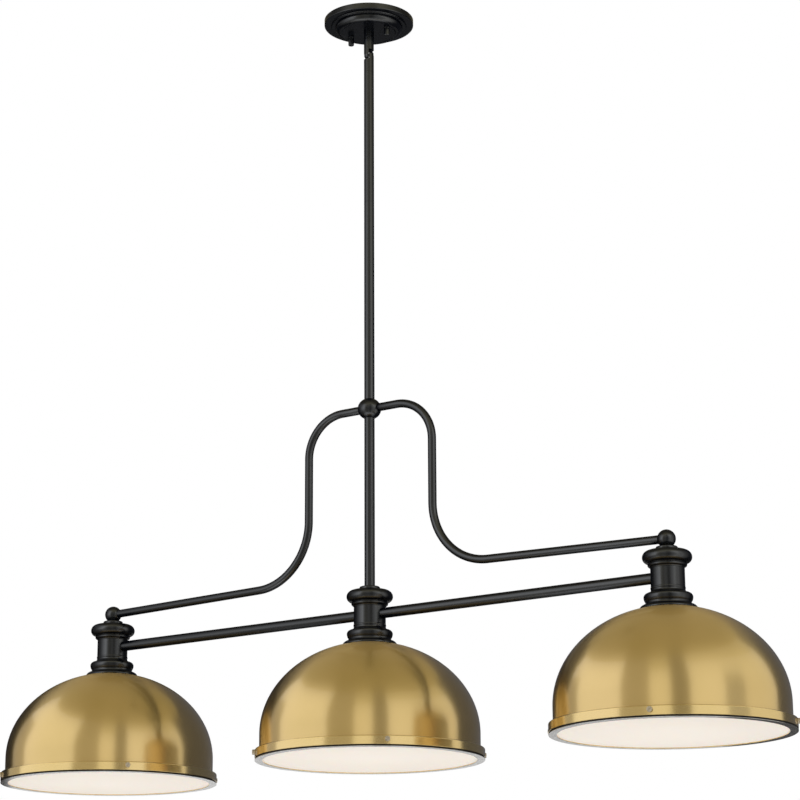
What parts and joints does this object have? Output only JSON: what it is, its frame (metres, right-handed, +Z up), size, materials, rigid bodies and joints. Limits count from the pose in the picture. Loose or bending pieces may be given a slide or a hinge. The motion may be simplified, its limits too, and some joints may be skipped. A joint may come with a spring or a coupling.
{
  "type": "linear island pendant",
  "caption": "Linear island pendant: stepped canopy, jointed rod with hang-straight swivel, curved arms and a bar carrying brass dome shades with frosted diffusers.",
  "frame": {"origin": "centre of the crossbar's top face, in the ceiling plane, on the axis of the canopy", "axes": "+Z up to the ceiling, +X along the row of lamps, -Y is the side seen in the picture (from the lower right)"},
  "size_m": [1.359, 0.343, 1.1905],
  "materials": {
    "black_metal": "satin black powder coat on turned and drawn metal",
    "brushed_brass": "spun and lengthwise brushed brass, clear lacquered",
    "frosted_glass": "satin white frosted glass",
    "steel": "zinc plated",
    "nickel": "nickel plated, turned",
    "green_steel": "green dyed grounding screw",
    "porcelain": "glazed white",
    "brass_plain": "plain stamped",
    "bulb_glass": "white coated",
    "connector_plastic": "moulded",
    "wire_jacket": "smooth insulation"
  },
  "bodies": {
    "ceiling_set": {"crossbar": "steel", "crossbar_studs": "steel", "ground_screw": "green_steel", "canopy": "black_metal", "canopy_cap_nuts": "black_metal", "canopy_nipple": "steel", "canopy_locknut": "steel", "wire_nuts": "connector_plastic", "canopy_leads": "wire_jacket", "swivel_top": "black_metal", "swivel_pin": "black_metal"},
    "pendant": {"swivel_bottom": "black_metal", "rod_upper": "black_metal", "rod_lower": "black_metal", "stem_tube": "black_metal", "rod_couplers": "steel", "centre_ball": "black_metal", "lower_nipples": "steel", "upper_nipples": "steel", "lamp_locknuts": "steel", "dome_washers": "steel", "socket_shells": "brass_plain", "inner_leads": "wire_jacket", "arm_left": "black_metal", "bar_left": "black_metal", "finial_ball_left": "black_metal", "arm_right": "black_metal", "bar_right": "black_metal", "finial_ball_right": "black_metal", "collar_left": "black_metal", "neck_cap_left": "black_metal", "neck_barrel_left": "black_metal", "neck_base_left": "black_metal", "dome_left": "brushed_brass", "socket_left": "porcelain", "bulb_left": "bulb_glass", "collar_middle": "black_metal", "neck_cap_middle": "black_metal", "neck_barrel_middle": "black_metal", "neck_base_middle": "black_metal", "dome_middle": "brushed_brass", "socket_middle": "porcelain", "bulb_middle": "bulb_glass", "collar_right": "black_metal", "neck_cap_right": "black_metal", "neck_barrel_right": "black_metal", "neck_base_right": "black_metal", "dome_right": "brushed_brass", "socket_right": "porcelain", "bulb_right": "bulb_glass"},
    "ring_set_left": {"ring_left": "brushed_brass", "diffuser_left": "frosted_glass", "ring_screws_left": "nickel"},
    "ring_set_middle": {"ring_middle": "brushed_brass", "diffuser_middle": "frosted_glass", "ring_screws_middle": "nickel"},
    "ring_set_right": {"ring_right": "brushed_brass", "diffuser_right": "frosted_glass", "ring_screws_right": "nickel"}
  },
  "joints": [
    {"name": "swivel", "type": "hinge", "parent": "ceiling_set", "child": "pendant", "pos_m": [0, 0, -0.0595], "axis": [0.8192, 0.5736, 0], "range_deg": [-45, 45]},
    {"name": "ring_drop_left", "type": "slide", "parent": "pendant", "child": "ring_set_left", "axis": [0, 0, -1], "range_m": [0, 0.1]},
    {"name": "ring_drop_middle", "type": "slide", "parent": "pendant", "child": "ring_set_middle", "axis": [0, 0, -1], "range_m": [0, 0.1]},
    {"name": "ring_drop_right", "type": "slide", "parent": "pendant", "child": "ring_set_right", "axis": [0, 0, -1], "range_m": [0, 0.1]}
  ]
}
